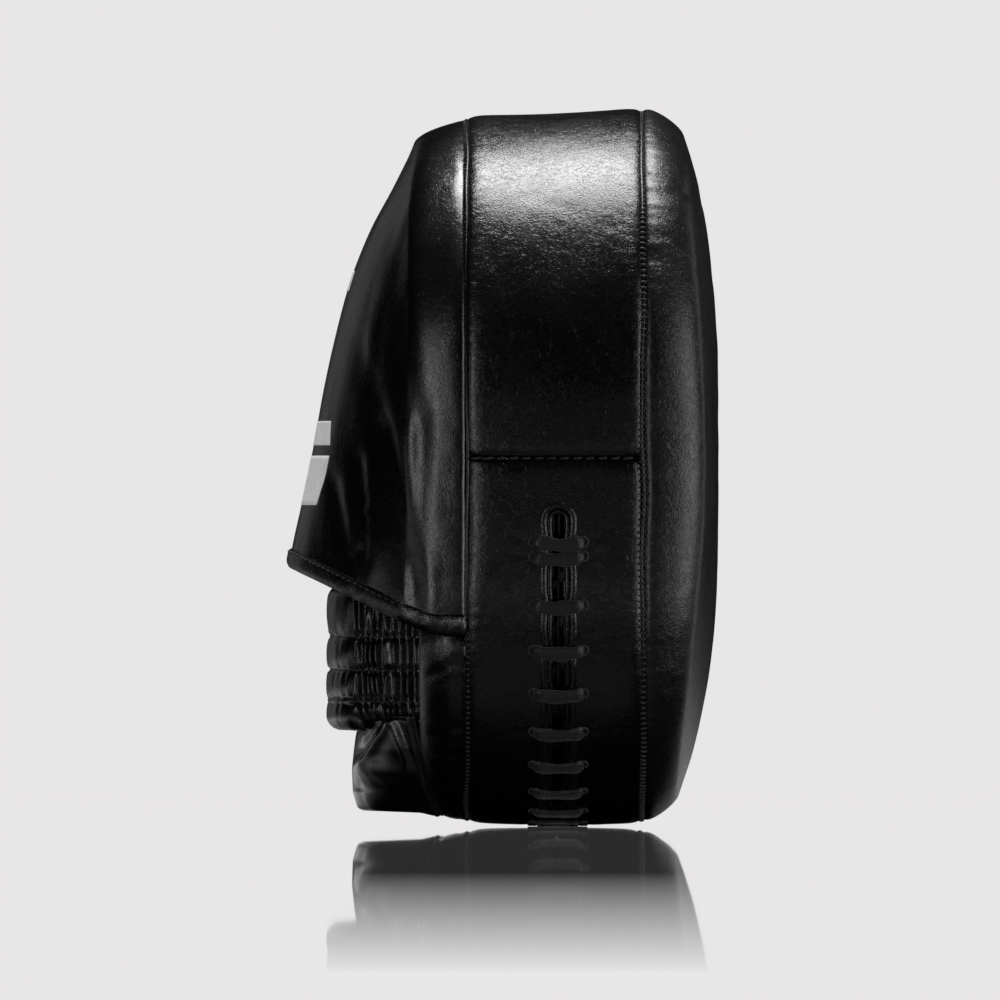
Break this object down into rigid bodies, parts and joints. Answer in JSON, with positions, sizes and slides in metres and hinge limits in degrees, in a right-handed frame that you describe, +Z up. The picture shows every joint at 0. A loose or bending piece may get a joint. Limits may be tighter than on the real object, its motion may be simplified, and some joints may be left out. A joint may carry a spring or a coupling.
{
  "type": "focus mitt",
  "caption": "Round-topped leather striking pad with a laced gusset, a hooded hand pocket and an elastic wrist strap.",
  "frame": {"origin": "centre of the bounding box's bottom face, on the surface that the mitt stands on", "axes": "+X out of the strike face, +Z up from the cuff end to the finger end, +Y across the pad"},
  "size_m": [0.1436, 0.2008, 0.24],
  "materials": {
    "leather_black": "satin",
    "leather_lace": "satin",
    "thread_black": "matte",
    "lining_black": "matte",
    "elastic_black": "matte",
    "foam_grey": "matte",
    "latex_cream": "matte",
    "board_tan": "matte"
  },
  "bodies": {
    "pad": {"strike_cover": "leather_black", "strike_foam": "foam_grey", "front_seam_welt": "thread_black", "impact_foam": "foam_grey", "latex_layer": "latex_cream", "stiffener_board": "board_tan", "back_cover": "leather_black", "back_foam": "foam_grey", "back_seam_welt": "thread_black", "gusset_upper": "leather_black", "gusset_lower": "leather_black", "gusset_joint_thread": "thread_black", "slot_binding": "leather_black", "slot_tongue": "leather_black", "lace": "leather_lace", "palm_grip": "leather_black", "finger_sleeve": "lining_black", "thumb_loop": "lining_black", "cuff_skirt": "leather_black", "skirt_padding": "foam_grey", "skirt_piping": "leather_black", "gore_left": "leather_black", "gore_right": "leather_black", "gore_elastics_left": "elastic_black", "gore_elastics_right": "elastic_black"},
    "strap": {"wrist_strap": "leather_black", "strap_padding": "foam_grey", "strap_thread": "thread_black"},
    "hood": {"hood": "leather_black", "hood_lining": "lining_black", "hood_hem": "leather_black", "hem_thread": "thread_black"}
  },
  "joints": [
    {"name": "strap_stretch", "type": "slide", "parent": "pad", "child": "strap", "axis": [-1, 0, 0], "range_m": [0, 0.022], "stiffness_N_per_m": 600, "deforming": ["gore_left", "gore_right", "gore_elastics_left", "gore_elastics_right"]},
    {"name": "hood_flex", "type": "hinge", "parent": "pad", "child": "hood", "pos_m": [-0.0131, 0, 0.239], "axis": [0, 1, 0], "range_deg": [0, 8], "stiffness_Nm_per_rad": 2}
  ]
}
